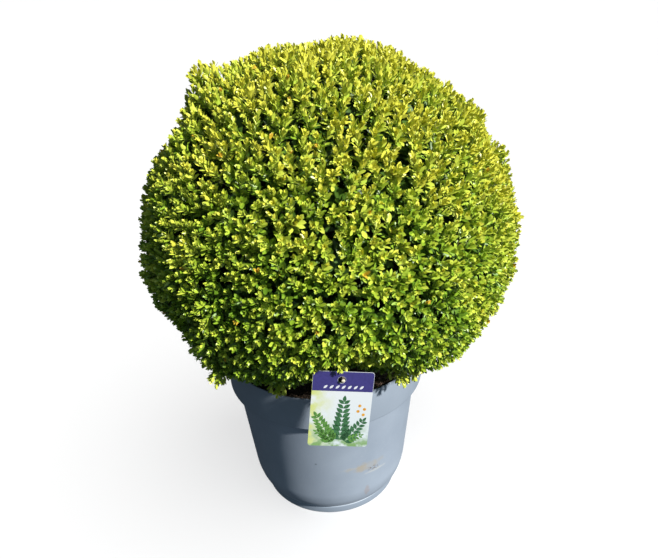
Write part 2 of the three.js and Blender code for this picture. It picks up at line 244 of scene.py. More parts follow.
# Shoots that droop over the top edge of the label: the foot and the tip of each
OVER_LABEL = [
    ((23, -262, 506), (26, -295, 476)),
    ((30, -264, 508), (35, -293, 479)),
    ((-10, -258, 504), (-13, -291, 477)),
]
OVER_LABEL_GAP = 1.5

# Leaf colours in linear light, from the newest growth to the oldest, with their roughness
LEAF_COLORS = [
    ("gold", (0.605, 0.60, 0.066), 0.40),
    ("lime", (0.475, 0.55, 0.060), 0.40),
    ("fresh", (0.34, 0.46, 0.036), 0.40),
    ("green", (0.208, 0.34, 0.021), 0.40),
    ("deep", (0.108, 0.218, 0.013), 0.42),
    ("inner", (0.052, 0.118, 0.008), 0.5),
    ("tinted", (0.58, 0.39, 0.034), 0.42),
]
TONE_STEPS = [0.84, 0.52, 0.34, 0.14]
TINTED_SHARE = 0.014
LEAF_SPECULAR = 0.65

# How yellow the growth is: half way up, and how much more at the top, on the sunny side, in
# patches and for a shoot's newest leaves, with the fall towards its oldest. On the sunny side
# the paler yellow is partly sun-yellowed growth and partly painted light.
MIDDLE_TONE = 0.26
TOP_TONE = 0.48
SUN_YELLOWING_AND_PAINTED_LIGHT = 0.16
SUNNY_SIDE = np.array([0.95, 0, 0.45])
PATCH_TONE = 0.35
PATCH_SIZE = 60
NEW_TONE = 0.42
AGE_TONE = 0.75
TONE_SCATTER = 0.08

# Label
LABEL_WIDTH = 96.5
LABEL_HEIGHT = 135
LABEL_THICKNESS = 0.8
LABEL_CORNER = 4.5
LABEL_CENTRE = (24.1, -295, 399.8)
LABEL_AZIMUTH = 3
LABEL_TILT = 8
LABEL_ROLL = 7.6
LABEL_CLEARANCE = 4
LABEL_VIEW_SLOPE = 0.5
SLOT_CENTRE = (-2.6, 53)
SLOT_HEIGHT = 11.5
SLOT_STRAIGHT = 1
HEADER_BOTTOM = 33
PRINT_STEP = 0.04
PRINT_INSET = 0.4
PRINT_GAP = 0.3
DRAWN_ANGLE = 52

# Twig that holds the label
HOOK_RADIUS = 3
HOOK_SIDE = 1.6
HOOK_PROUD = 8
HOOK_RUN = 16
HOOK_DIP = (26, -250, 458)
HOOK_START = (20, -215, 500)

# Camera
CAMERA_PLACE = (0.0160, -1.0421, 1.0232)
CAMERA_PITCH = 27.54
CAMERA_ROLL = -2.84
CAMERA_LENS = 32.83
SENSOR_WIDTH = 36

# Lamps of the plant and of the floor: degrees to the right of the front, elevation, the angle
# that the lamp covers, strength and colour
PLANT_LAMPS = {
    "key": (51, 38, 3.5, 7.75, (1.0, 0.97, 0.91)),
    "sky": (60, 62, 180, 1.12, (0.64, 0.84, 1.0)),
    "bounce": (0, -90, 180, 0.25, (0.72, 0.86, 1.0)),
}
FLOOR_LAMPS = {
    "floor_light": (51, 60, 70, 1.4, (1, 1, 1)),
    "floor_fill": (0, 90, 60, 2.9, (1, 1, 1)),
}
ROOM_COLOR = (0.93, 0.93, 0.93)
FLOOR_REACH = 60

UP = np.array([0.0, 0.0, 1.0])
random = np.random.default_rng(SEED)


# Materials

def new_material(name, color, roughness):
    """A material with one shader; the colour is in linear light."""
    material = bpy.data.materials.new(name)
    material.use_nodes = True
    shader = material.node_tree.nodes["Principled BSDF"]
    shader.inputs["Base Color"].default_value = (*color, 1)
    shader.inputs["Roughness"].default_value = roughness
    return material, shader


def node(source, kind):
    """A new node beside the one that a socket belongs to."""
    return source.id_data.nodes.new(f"ShaderNode{kind}")


def link(source, target):
    source.id_data.links.new(source, target)


def object_place(material):
    return material.node_tree.nodes.new("ShaderNodeTexCoord").outputs["Object"]


def split(place):
    """The outputs X, Y and Z of a place."""
    made = node(place, "SeparateXYZ")
    link(place, made.inputs["Vector"])
    return made.outputs


def grain(place, scale, detail):
    """Noise from 0 to 1, with scale features in a metre and detail finer layers."""
    made = node(place, "TexNoise")
    made.inputs["Scale"].default_value = scale
    made.inputs["Detail"].default_value = detail
    link(place, made.inputs["Vector"])
    return made.outputs["Fac"]


def ramp(factor, *stops):
    """A colour for each factor, by stops of place and colour."""
    made = node(factor, "ValToRGB")
    elements = made.color_ramp.elements
    while len(elements) < len(stops):
        elements.new(0.5)
    for element, (place, color) in zip(elements, stops):
        element.position = place
        element.color = (*color, 1)
    link(factor, made.inputs["Fac"])
    return made.outputs["Color"]


def ranged(value, low, high, at_low, at_high):
    """A value carried from one range to another, and held at the ends."""
    made = node(value, "MapRange")
    link(value, made.inputs["Value"])
    limits = {"From Min": low, "From Max": high, "To Min": at_low, "To Max": at_high}
    for name, limit in limits.items():
        made.inputs[name].default_value = limit
    return made.outputs["Result"]


def combined(kind, first, second):
    """A value with another value or a number."""
    made = node(first, "Math")
    made.operation = kind
    link(first, made.inputs[0])
    if isinstance(second, float):
        made.inputs[1].default_value = second
    else:
        link(second, made.inputs[1])
    return made.outputs["Value"]


def painted(under, mask, color):
    """The colour laid over another where the mask is 1."""
    made = node(under, "MixRGB")
    link(mask, made.inputs["Fac"])
    link(under, made.inputs["Color1"])
    made.inputs["Color2"].default_value = (*color, 1)
    return made.outputs["Color"]


def paint(shader, color):
    link(color, shader.inputs["Base Color"])


def bump(shader, height, distance, strength=1.0):
    made = node(height, "Bump")
    made.inputs["Strength"].default_value = strength
    made.inputs["Distance"].default_value = distance
    link(height, made.inputs["Height"])
    link(made.outputs["Normal"], shader.inputs["Normal"])


# Meshes

def show(thing):
    """Put a thing in the scene."""
    bpy.context.scene.collection.objects.link(thing)


def new_piece(name, points, faces, material, slot, replaces, smooth=True):
    """A mesh piece of the plant, its points in millimetres."""
    mesh = bpy.data.meshes.new(name)
    mesh.from_pydata((np.asarray(points, float) * MM).tolist(), [], [list(face) for face in faces])
    return finished(name, mesh, material, replaces, smooth)


def finished(name, mesh, material, replaces, smooth=True, place=Matrix()):
    """A piece of the plant from its mesh."""
    mesh.materials.append(material)
    for face in mesh.polygons:
        face.use_smooth = smooth
    piece = bpy.data.objects.new(name, mesh)
    show(piece)
    piece.matrix_world = place
    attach(piece, "root")
    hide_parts(*replaces)
    return piece


def unit(vectors):
    return vectors / np.linalg.norm(vectors, axis=-1, keepdims=True)


def square_to(axes):
    """Two directions square to each axis and to each other."""
    helper = np.where(np.abs(axes[:, 2:]) < 0.9, UP, np.array([1.0, 0.0, 0.0]))
    first = unit(np.cross(axes, helper))
    return first, np.cross(axes, first)


def level_directions(azimuth):
    """The level ways out of the front and to its right, turned by degrees to the right."""
    turn = math.radians(azimuth)
    outward = Vector((math.sin(turn), -math.cos(turn), 0))
    return outward, Vector((math.cos(turn), math.sin(turn), 0))


def nearest(points, candidates):
    return np.array([np.argmin(((candidates - point) ** 2).sum(1)) for point in points])


def even_directions(count, jitter):
    """Directions spread evenly over a ball, each moved a little at random."""
    index = np.arange(count)
    z = 1 - (2 * index + 1) / count
    turn = index * math.pi * (3 - math.sqrt(5))
    level = np.sqrt(1 - z**2)
    ball = np.stack([level * np.cos(turn), level * np.sin(turn), z], axis=1)
    step = jitter * math.sqrt(4 * math.pi / count)
    return unit(ball + step * random.uniform(-1, 1, (count, 3)))


def ring_faces(count, steps, sides):
    """Faces between the rings of points of a number of tubes."""
    tube, step, corner = np.meshgrid(np.arange(count), np.arange(steps), np.arange(sides), indexing="ij")
    base = (tube * (steps + 1) + step) * sides
    following = (corner + 1) % sides
    corners = [base + corner, base + following, base + sides + following, base + sides + corner]
    return np.stack(corners, axis=-1).reshape(-1, 4)


def tubes(starts, bends, ends, foot_radius, tip_radius, sides, steps):
    """Points and faces of one tapering tube for each start, bent towards its bend point."""
    at = np.linspace(0, 1, steps + 1)[None, :, None]
    start, bend, end = (points[:, None, :] for points in (starts, bends, ends))
    path = (1 - at) ** 2 * start + 2 * at * (1 - at) * bend + at**2 * end
    along = unit((1 - at) * (bend - start) + at * (end - bend) + 1e-6)
    across = square_to(unit(ends - starts))[0][:, None, :]
    side = unit(np.cross(along, across))
    other = np.cross(along, side)
    turn = np.arange(sides) * 2 * math.pi / sides
    radius = foot_radius + (tip_radius - foot_radius) * at
    ring = np.cos(turn)[None, None, :, None] * side[:, :, None, :]
    ring = ring + np.sin(turn)[None, None, :, None] * other[:, :, None, :]
    points = path[:, :, None, :] + radius[:, :, None, :] * ring
    return points.reshape(-1, 3), ring_faces(len(starts), steps, sides)


def joined(parts):
    """One list of points and one of faces from several."""
    points = []
    faces = []
    count = 0
    for part_points, part_faces in parts:
        points.append(part_points)
        faces.append(part_faces + count)
        count += len(part_points)
    return np.concatenate(points), np.concatenate(faces)


def rounded_profile(corners, steps=4):
    """A profile of (radius, height, rounding) corners with an arc in place of each."""
    profile = []
    for i, (radius, height, rounding) in enumerate(corners):
        here = np.array([radius, height], float)
        if rounding == 0:
            profile.append(here)
            continue
        before = unit(np.array(corners[i - 1][:2]) - here)
        after = unit(np.array(corners[i + 1][:2]) - here)
        opening = math.acos(np.clip(before @ after, -1, 1))
        reach = rounding / math.tan(opening / 2)
        for at in np.linspace(0, 1, steps + 1):
            first = here + before * reach * (1 - at)
            second = here + after * reach * at
            profile.append(first * (1 - at) + second * at)
    return profile


def turned(profile, sides):
    """Points and faces of a profile turned about the upright axis."""
    points = []
    rings = []
    for radius, height in profile:
        if radius < 1e-6:
            rings.append([len(points)] * sides)
            points.append((0, 0, height))
            continue
        rings.append(list(range(len(points), len(points) + sides)))
        for corner in range(sides):
            turn = 2 * math.pi * corner / sides
            points.append((radius * math.cos(turn), radius * math.sin(turn), height))
    faces = []
    for lower, upper in zip(rings, rings[1:]):
        for corner in range(sides):
            following = (corner + 1) % sides
            face = [lower[corner], lower[following], upper[following], upper[corner]]
            faces.append([one for i, one in enumerate(face) if one != face[i - 1]])
    return points, faces


# Crown surface, by the same rule as the solid

def outline_direction(angle):
    turn = math.radians(angle)
    near = math.radians(VIEW_NEARNESS)
    pitch = math.radians(VIEW_PITCH)
    y = -math.sin(near)
    z = math.cos(near) * math.cos(turn)
    return np.array([
        math.cos(near) * math.sin(turn),
        y * math.cos(pitch) + z * math.sin(pitch),
        z * math.cos(pitch) - y * math.sin(pitch),
    ])


def ball_radius(toward):
    x, y, z = toward.T
    radius = CROWN_RADIUS / np.sqrt(x**2 + y**2 + (z / CROWN_FLATTENING) ** 2)
    radius = radius + CROWN_WAVE * np.sin(7 * x + 2) * np.cos(6 * y - 4 * z)
    for angle, rise, spread in LUMPS:
        away = np.degrees(np.arccos(np.clip(toward @ outline_direction(angle), -1, 1)))
        radius = radius + rise * np.exp(-0.5 * (away / spread) ** 2)
    return radius


def belly_radius(toward):
    x, y, z = toward.T
    level = np.hypot(x, y)
    front = np.maximum(0, -y / np.maximum(level, 1e-9)) ** 2
    notch = np.exp(-(((np.degrees(np.arctan2(y, x)) - NOTCH_AZIMUTH) / NOTCH_WIDTH) ** 2))
    slope = BELLY_SLOPE + FRONT_STEEPER * front
    fall = np.maximum(slope * level - z, 0.01)
    height = BELLY_HEIGHT + NOTCH_RISE * notch
    return (CROWN_CENTRE[2] - POT_HEIGHT - height + slope * RIM_RADIUS) / fall


def skirt_radius(toward):
    return (CROWN_CENTRE[2] - POT_HEIGHT - SKIRT_HEIGHT) / np.maximum(-toward[:, 2], 0.01)


def crown_radius(toward):
    radii = [ball_radius(toward), belly_radius(toward), skirt_radius(toward)]
    return -BLEND * np.log(sum(np.exp(-radius / BLEND) for radius in radii))


def surface_points(toward, depth):
    """Points under the crown's surface by a depth."""
    return CROWN_CENTRE + toward * (crown_radius(toward) - depth)[:, None]


def patchiness(places, size, phase):
    """A smooth value from 0 to 1 that changes over about a size."""
    total = np.zeros(len(places))
    for i in range(4):
        turn = phase + 2.4 * i
        wave = np.array([math.cos(turn), math.sin(turn), math.cos(1.7 * turn + 1)])
        total += np.sin(places @ wave * (2.2 + 0.5 * i) / size + turn)
    return np.clip(0.5 + total / 4, 0, 1)


# Sprays, shoots and leaves

def shown_directions(count):
    """Directions all over the crown, without the hidden part over the soil."""
    toward = even_directions(count, SPRAY_JITTER)
    head = surface_points(toward, 0)
    over_soil = head[:, 2] < POT_HEIGHT + 2 * SKIRT_HEIGHT
    return toward[~(over_soil & (np.hypot(head[:, 0], head[:, 1]) < HIDDEN_RADIUS))]


def growth_axes(toward):
    """The way that growth leans at a place: out, and more or less upwards."""
    lift = GROWTH_LIFT * np.clip(toward[:, 2:] + 0.8, 0.3, 1)
    return unit(toward + lift * UP)


def trim_depth(toward):
    """How much deeper the tips end where the underside is clipped closer."""
    azimuth = np.degrees(np.arctan2(toward[:, 1], toward[:, 0]))
    near = np.exp(-(((azimuth - TRIM_AZIMUTH) / TRIM_WIDTH) ** 2))
    return TRIM_DEPTH * near * (toward[:, 2] < TRIM_BELOW)


def make_sprays():
    """Fork and axis of each spray, and the foot and tip of each shoot."""
    toward = shown_directions(SPRAY_COUNT)
    axis = unit(growth_axes(toward) + random.normal(0, SPRAY_WANDER, toward.shape))
    fork = surface_points(toward, FORK_SINK) - axis * FORK_DEPTH
    out = shown_directions(SHOOT_COUNT)
    depth = np.abs(random.normal(0, TIP_SCATTER, len(out))) + TIP_DEPTH
    depth += CLUMP_DEPTH * patchiness(out * CROWN_RADIUS, CLUMP_SIZE, 0.3) + trim_depth(out)
    tips = surface_points(out, depth)
    wanted = tips - growth_axes(out) * FORK_DEPTH
    feet = fork[nearest(wanted, fork)] + random.normal(0, FOOT_SCATTER, out.shape)
    return fork, axis, feet, tips


def leaf_tones(places, toward):
    """How yellow the growth is at a place, from 0 to 1; paler on the sunny side, partly as painted light.
    """
    # The sunny side term is partly sun-yellowed growth and partly painted light
    tone = MIDDLE_TONE + TOP_TONE * toward[:, 2] + SUN_YELLOWING_AND_PAINTED_LIGHT * toward @ SUNNY_SIDE
    tone += PATCH_TONE * (patchiness(places, PATCH_SIZE, 2.1) - 0.5)
    return tone + random.normal(0, TONE_SCATTER, len(places))


def openness(toward):
    """How far the leaves of a shoot open: upright growth near the top is closed."""
    return TOP_OPENNESS + (LOW_OPENNESS - TOP_OPENNESS) * np.clip(0.75 - toward[:, 2:], 0, 1)


def gathered(batches):
    """Batches of leaves put together, part by part."""
    return [np.concatenate(parts) for parts in zip(*batches)]


def leaf_pair(roots, axes, hinges, angle, length):
    """Root, direction, facing and length of the two leaves across from each other."""
    spread = np.radians(angle) + random.normal(0, 0.08, (len(roots), 1))
    leaves = []
    for side in (1, -1):
        along = np.cos(spread) * axes + side * np.sin(spread) * hinges
        facing = np.sin(spread) * axes - side * np.cos(spread) * hinges
        along = unit(along + random.normal(0, LEAF_SCATTER, along.shape))
        facing = facing + LEAF_UPTURN * UP + random.normal(0, FACING_SCATTER, facing.shape)
        facing = unit(facing - (facing * along).sum(1, keepdims=True) * along)
        sizes = length * random.uniform(*LEAF_SIZES, len(roots))
        leaves.append((roots, along, facing, sizes))
    return gathered(leaves)


def shoot_leaves(feet, tips, tone):
    """Leaves of all shoots, with a colour number for each."""
    axes = unit(tips - feet)
    opened = openness(unit(tips - CROWN_CENTRE))
    lengths = np.linalg.norm(tips - feet, axis=1)
    first, second = square_to(axes)
    turn = random.uniform(0, 2 * math.pi, (len(feet), 1))
    size = random.uniform(*SHOOT_SIZES, len(feet))
    tinted = random.uniform(0, 1, len(feet)) < TINTED_SHARE
    batches = []
    for i, (distance, length, angle) in enumerate(LEAF_PAIRS):
        bears = distance * size < lengths
        here = turn + i * math.pi / 2 + random.normal(0, 0.12, turn.shape)
        hinges = np.cos(here) * first + np.sin(here) * second
        roots = tips - axes * (distance * size)[:, None]
        leaves = leaf_pair(roots[bears], axes[bears], hinges[bears], angle * opened[bears], length)
        leaves[3] = leaves[3] * np.tile(size[bears], 2)
        age = i / (len(LEAF_PAIRS) - 1)
        value = np.tile(tone[bears], 2) + NEW_TONE - AGE_TONE * age
        value += random.normal(0, 0.07, len(value))
        color = np.searchsorted(-np.array(TONE_STEPS), -value)
        if i < 2:
            color[np.tile(tinted[bears], 2)] = len(LEAF_COLORS) - 1
        batches.append((*leaves, color))
    return gathered(batches)


def inner_leaves(fork, axis):
    """Older leaves on the stems under the forks."""
    first, second = square_to(axis)
    batches = []
    for i, distance in enumerate(INNER_DISTANCES):
        turn = random.uniform(0, 2 * math.pi, (len(fork), 1))
        hinges = np.cos(turn) * first + np.sin(turn) * second
        leaves = leaf_pair(fork - axis * distance, axis, hinges, INNER_ANGLE, INNER_LENGTH)
        batches.append((*leaves, np.full(len(leaves[0]), INNER_COLOR)))
    return gathered(batches)


def old_leaves():
    """Older leaves that fill the dark between the boughs."""
    toward = unit(random.normal(0, 1, (OLD_COUNT, 3)))
    depth = random.uniform(*OLD_DEPTHS, OLD_COUNT)
    roots = surface_points(toward, depth)
    along = unit(random.normal(0, 1, roots.shape) + OLD_LIFT * UP)
    facing = toward + random.normal(0, OLD_SCATTER, roots.shape)
    facing = unit(facing - (facing * along).sum(1, keepdims=True) * along)
    lengths = OLD_LENGTH * random.uniform(*OLD_SIZES, OLD_COUNT)
    return [roots, along, facing, lengths, np.full(OLD_COUNT, INNER_COLOR)]


def leaf_points(leaves):
    """The root, the middle and the tip of every leaf."""
    roots, along, _, lengths, _ = leaves
    return [roots + along * (share * lengths)[:, None] for share in (0, 0.5, 1)]


def from_label(points, seat):
    """Points in the label's own axes."""
    to_label = np.array(seat.inverted())
    return ((points * MM) @ to_label[:3, :3].T + to_label[:3, 3]) / MM


def clear_leaves(leaves, seat):
    """The leaves without those that would be in the pot, the soil or the label, or hide its face."""
    kept = np.ones(len(leaves[0]), bool)
    for point in leaf_points(leaves):
        kept &= ~((np.hypot(point[:, 0], point[:, 1]) < RIM_RADIUS + 1) & (point[:, 2] < POT_HEIGHT + 1))
        local = from_label(point, seat)
        beside = np.abs(local[:, 0]) > LABEL_WIDTH / 2 + LABEL_CLEARANCE
        rise = np.abs(local[:, 1]) - LABEL_VIEW_SLOPE * np.maximum(local[:, 2], 0)
        kept &= beside | (rise > LABEL_HEIGHT / 2) | (local[:, 2] < -LABEL_CLEARANCE)
    return [part[kept] for part in leaves]


def clear_of_card(leaves, seat):
    """The leaves that are wholly in front of the label's face, or over its top edge."""
    kept = np.ones(len(leaves[0]), bool)
    for point in leaf_points(leaves):
        local = from_label(point, seat)
        in_front = local[:, 2] > LABEL_THICKNESS + OVER_LABEL_GAP
        kept &= in_front | (local[:, 1] > LABEL_HEIGHT / 2 + OVER_LABEL_GAP)
    return [part[kept] for part in leaves]


def leaf_mesh(roots, along, facing, lengths, edge):
    """Points and triangles of folded oval leaves, each a fan round a point of its midrib."""
    outline = [(0, 0), *edge, (1, 0), *[(u, -v) for u, v in reversed(edge)]]
    template = [(0.5, 0), *outline]
    side = np.cross(along, facing)
    breadth = LEAF_BREADTH * random.uniform(*BREADTH_RANGE, len(lengths))
    points = []
    for u, v in template:
        height = LEAF_FOLD * abs(v) * breadth - LEAF_CURL * u**2
        point = roots + along * (u * lengths)[:, None]
        point = point + side * (v * breadth * lengths)[:, None] + facing * (height * lengths)[:, None]
        points.append(point)
    corner = np.arange(len(outline))
    following = (corner + 1) % len(outline)
    pattern = np.stack([np.zeros_like(corner), corner + 1, following + 1], axis=1)
    points = np.stack(points, axis=1).reshape(-1, 3)
    first = np.arange(len(roots))[:, None, None] * len(template)
    return points, (first + pattern).reshape(-1, 3)


def add_leaves(leaves):
    """Leaf pieces, one or more for each colour."""
    roots, along, facing, lengths, color = leaves
    for number, (name, tint, roughness) in enumerate(LEAF_COLORS):
        material, shader = new_material(f"leaf_{name}", tint, roughness)
        shader.inputs["Specular IOR Level"].default_value = LEAF_SPECULAR
        edge = INNER_EDGE if number == INNER_COLOR else LEAF_EDGE
        chosen = np.flatnonzero(color == number)
        for part, start in enumerate(range(0, len(chosen), LEAVES_PER_PIECE)):
            some = chosen[start:start + LEAVES_PER_PIECE]
            points, faces = leaf_mesh(roots[some], along[some], facing[some], lengths[some], edge)
            new_piece(f"leaves_{name}_{part + 1}", points, faces, material, "leaves", ["foliage"])


# Boughs and trunk

def bark_material():
    material, shader = new_material("bark", (0.2, 0.16, 0.11), 0.85)
    place = object_place(material)
    color = ramp(
        grain(place, 90, 6),
        (0.3, (0.06, 0.045, 0.03)), (0.55, (0.14, 0.11, 0.075)), (0.75, (0.23, 0.19, 0.135)),
    )
    paint(shader, color)
    bump(shader, grain(place, 400, 5), 0.0006)
    return material


def trunk_surface(turn, height):
    """A point of the trunk's skin, with ridged bark, by its turn and height over the foot."""
    flare = max(0.0, 1 - height / FLARE_HEIGHT)
    radius = TRUNK_RADIUS + (FLARE_RADIUS - TRUNK_RADIUS) * flare**1.6
    radius *= 1 + FLUTE_DEPTH * flare * math.cos(FLUTES * turn)
    place = Vector((2.2 * math.cos(turn), 2.2 * math.sin(turn), height / 26))
    ridge = 1 - abs(noise.fractal(place * 1.7, 1.0, 2.0, 4)) * 2.2
    radius += RIDGE_HEIGHT * ridge - 1.6
    x = radius * math.cos(turn) + TRUNK_LEAN[0] * height
    y = radius * math.sin(turn) + TRUNK_LEAN[1] * height
    return x, y, TRUNK_FOOT + height


def add_trunk(material):
    points = []
    for ring in range(TRUNK_RINGS + 1):
        height = TRUNK_HEIGHT * ring / TRUNK_RINGS
        for corner in range(TRUNK_SIDES):
            points.append(trunk_surface(2 * math.pi * corner / TRUNK_SIDES, height))
    faces = ring_faces(1, TRUNK_RINGS, TRUNK_SIDES).tolist()
    faces.append(list(range(TRUNK_SIDES))[::-1])
    faces.append(list(range(TRUNK_RINGS * TRUNK_SIDES, (TRUNK_RINGS + 1) * TRUNK_SIDES)))
    new_piece("trunk_bark", points, faces, material, "bark", ["trunk"])


def add_boughs(material, fork, axis):
    """The main stem, three orders of boughs, and the stems of the sprays."""
    x, y = (lean * TRUNK_HEIGHT for lean in TRUNK_LEAN)
    stem_foot = np.array([[x, y, TRUNK_FOOT + TRUNK_HEIGHT - 1]])
    stem_tip = np.array([[x + 6, y - 2, STEM_TOP]])
    middle = (stem_foot + stem_tip) / 2
    parts = [tubes(stem_foot, middle, stem_tip, TRUNK_RADIUS - 1, STEM_TIP_RADIUS, 14, 6)]
    parents = stem_foot + (stem_tip - stem_foot) * np.linspace(0.2, 1, 9)[:, None]
    for count, share, foot_radius, tip_radius in BOUGH_ORDERS:
        toward = even_directions(count, BOUGH_JITTER)
        ends = CROWN_CENTRE + toward * (share * crown_radius(toward))[:, None]
        over = ends[:, 2] > POT_HEIGHT + BOUGH_CLEARANCE
        toward, ends = toward[over], ends[over]
        starts = parents[nearest(ends, parents)]
        gap = np.linalg.norm(ends - starts, axis=1, keepdims=True)
        bends = ends - unit(toward + 0.3 * UP) * BOUGH_BOW * gap
        parts.append(tubes(starts, bends, ends, foot_radius, tip_radius, 6, 5))
        parents = ends
    starts = parents[nearest(fork, parents)]
    gap = np.linalg.norm(fork - starts, axis=1, keepdims=True)
    parts.append(tubes(starts, fork - axis * 0.5 * gap, fork, STEM_RADIUS, SHOOT_RADIUS, 4, 3))
    points, faces = joined(parts)
    new_piece("boughs", points, faces, material, "bark", ["foliage"])


def add_shoots(feet, tips):
    material, shader = new_material("green_bark", (0.22, 0.30, 0.06), 0.55)
    streaks = grain(object_place(material), 120, 2)
    color = ramp(streaks, (0.35, (0.20, 0.17, 0.07)), (0.65, (0.26, 0.38, 0.06)))
    paint(shader, color)
    points, faces = tubes(feet, (feet + tips) / 2, tips, SHOOT_RADIUS, 0.35, 3, 1)
    new_piece("shoots", points, faces, material, "leaves", ["foliage"])


# Pot

def wall_radius(height):
    """Radius of the straight wall at a height."""
    radius, bottom, _ = HEEL[-1]
    return radius + (SHOULDER_RADIUS - radius) * (height - bottom) / (COLLAR_UNDER - bottom)


def mark_mask(place, mark):
    """1 inside a mark on the pot's skin and 0 outside it, with a ragged edge."""
    azimuth, height, half_length, half_width, rise, ragged = mark
    outward, level = level_directions(azimuth)
    along = Matrix.Rotation(math.radians(-rise), 3, outward) @ level
    across = outward.cross(along)
    basis = Matrix((along, across, outward)).transposed()
    mapping = node(place, "Mapping")
    mapping.vector_type = "TEXTURE"
    mapping.inputs["Location"].default_value = (outward * wall_radius(height) + Vector((0, 0, height))) * MM
    mapping.inputs["Rotation"].default_value = basis.to_euler()
    mapping.inputs["Scale"].default_value = (half_length * MM, half_width * MM, 25 * MM)
    link(place, mapping.inputs["Vector"])
    length = node(place, "VectorMath")
    length.operation = "LENGTH"
    link(mapping.outputs["Vector"], length.inputs[0])
    edge = ranged(grain(place, 70, 5), 0.3, 0.7, -ragged, ragged)
    return ranged(combined("ADD", length.outputs["Value"], edge), 0.55, 1.0, 1, 0)


def pot_material():
    material, shader = new_material("pot_plastic", (0.30, 0.37, 0.45), 0.5)
    place = object_place(material)
    color = ramp(
        grain(place, 9, 5),
        (0.32, (0.228, 0.272, 0.338)), (0.5, (0.248, 0.293, 0.361)), (0.68, (0.270, 0.318, 0.388)),
    )
    dust = ranged(grain(place, 160, 6), 0.58, 0.78, 0, 0.35)
    color = painted(color, dust, (0.31, 0.35, 0.40))
    height = split(place)["Z"]
    collar = ranged(height, COLLAR_UNDER * MM, COLLAR_BOTTOM * MM, 0, 0.6)
    color = painted(color, collar, (0.185, 0.220, 0.270))
    # Painted bounce light: the downward-facing heel just above the foot band is painted paler
    over_foot = ranged(height, (FOOT_HEIGHT + 1) * MM, (FOOT_HEIGHT + 3) * MM, 0, 1)
    heel = ranged(height, FOOT_HEIGHT * MM, HEEL[2][1] * MM, 1, 0)
    color = painted(color, combined("MULTIPLY", over_foot, heel), (0.50, 0.57, 0.66))
    # Painted shade: the foot band and its ledge are painted darker to dull the light they catch
    foot = ranged(height, FOOT_HEIGHT * MM, (FOOT_HEIGHT + 2) * MM, 0.7, 0)
    color = painted(color, foot, (0.185, 0.225, 0.28))
    streaks = ranged(grain(place, 45, 6), 0.36, 0.62, 0.35, 0.95)
    crumbs = ranged(grain(place, 260, 3), 0.5, 0.58, 0, 0.8)
    smear = mark_mask(place, MUD_SMEAR)
    marks = [
        (mark_mask(place, MUD_STREAK), 0.6, (0.335, 0.350, 0.365)),
        (smear, streaks, (0.290, 0.268, 0.232)),
        (mark_mask(place, MUD_EDGE), 0.6, (0.39, 0.41, 0.42)),
        (mark_mask(place, MUD_SPECKS), crumbs, (0.13, 0.095, 0.065)),
        (mark_mask(place, MUD_STAIN), 0.45, (0.26, 0.21, 0.20)),
        (mark_mask(place, MUD_SPOT), 0.7, (0.10, 0.12, 0.14)),
    ]
    for mask, cover, tint in marks:
        color = painted(color, combined("MULTIPLY", mask, cover), tint)
    paint(shader, color)
    rough = ranged(grain(place, 30, 5), 0.3, 0.7, 0.42, 0.6)
    rough = combined("ADD", rough, combined("MULTIPLY", smear, 0.2))
    link(rough, shader.inputs["Roughness"])
    bump(shader, grain(place, 700, 3), 0.00025, 0.35)
    return material


def pot_profile():
    outer = [
        (0, 0, 0),
        (FOOT_RADIUS, 0, 2),
        (FOOT_RADIUS, FOOT_HEIGHT, 1.6),
        *HEEL,
        (SHOULDER_RADIUS, COLLAR_UNDER, 4),
        (RIM_RADIUS, COLLAR_BOTTOM, 3),
        (RIM_RADIUS, POT_HEIGHT, 1.4),
    ]
    inner = [
        (RIM_RADIUS - POT_WALL, POT_HEIGHT, 1.2),
        (RIM_RADIUS - POT_WALL, COLLAR_BOTTOM, 2),
        (SHOULDER_RADIUS - POT_WALL, COLLAR_UNDER, 2),
        *[(radius - POT_WALL, height, rounding) for radius, height, rounding in reversed(HEEL)],
        (HEEL[0][0] - POT_WALL, POT_FLOOR, 3),
        (0, POT_FLOOR, 0),
    ]
    return rounded_profile(outer + inner)


def add_pot():
    points, faces = turned(pot_profile(), POT_SIDES)
    pot = new_piece("pot_shell", points, faces, pot_material(), "pot", ["pot"])
    for i in range(DRAIN_COUNT):
        turn = 2 * math.pi * i / DRAIN_COUNT
        centre = Vector((DRAIN_RING * math.cos(turn), DRAIN_RING * math.sin(turn), 0)) * MM
        bpy.ops.mesh.primitive_cylinder_add(
            vertices=32, radius=DRAIN_RADIUS * MM, depth=4 * POT_FLOOR * MM, location=centre
        )
        drill = bpy.context.object
        cut = pot.modifiers.new("drain", "BOOLEAN")
        cut.object = drill
        cut.solver = "EXACT"
        apply_modifiers(pot)
        bpy.data.objects.remove(drill)


def apply_modifiers(piece):
    shaped = piece.evaluated_get(bpy.context.evaluated_depsgraph_get())
    mesh = bpy.data.meshes.new_from_object(shaped)
    piece.modifiers.clear()
    piece.data = mesh


# Soil

def soil_height(x, y):
    distance = math.hypot(x, y)
    fade = min(max((distance - TRUNK_SEAT) / SOIL_FADE, 0), 1)
    broad = math.sin(x / 17) * math.cos(y / 21) + math.sin((x + y) / 31)
    fine = noise.fractal(Vector((x, y, 0)) / 11, 1.0, 2.0, 4)
    return SOIL_TOP + fade * (SOIL_LUMP * broad + SOIL_GRAIN * fine)


def soil_material(name, dark, pale, painted_light_color):
    """Compost or chips, painted paler to the right of the label as painted sunlight on the soil."""
    material, shader = new_material(name, dark, 0.95)
    place = object_place(material)
    speckle = grain(place, 140, 6)
    color = ramp(speckle, (0.35, dark), (0.62, pale), (0.8, (0.30, 0.22, 0.16)))
    # Painted sunlight: the soil right of the label is painted paler by its X place
    right = ranged(split(place)["X"], PAINTED_LIGHT_FROM * MM, PAINTED_LIGHT_TO * MM, 0, 1)
    painted_light_mask = combined("MULTIPLY", right, ranged(speckle, 0.4, 0.6, 0.2, 0.9))
    color = painted(color, painted_light_mask, painted_light_color)
    paint(shader, color)
    bump(shader, grain(place, 500, 5), 0.002)
    return material


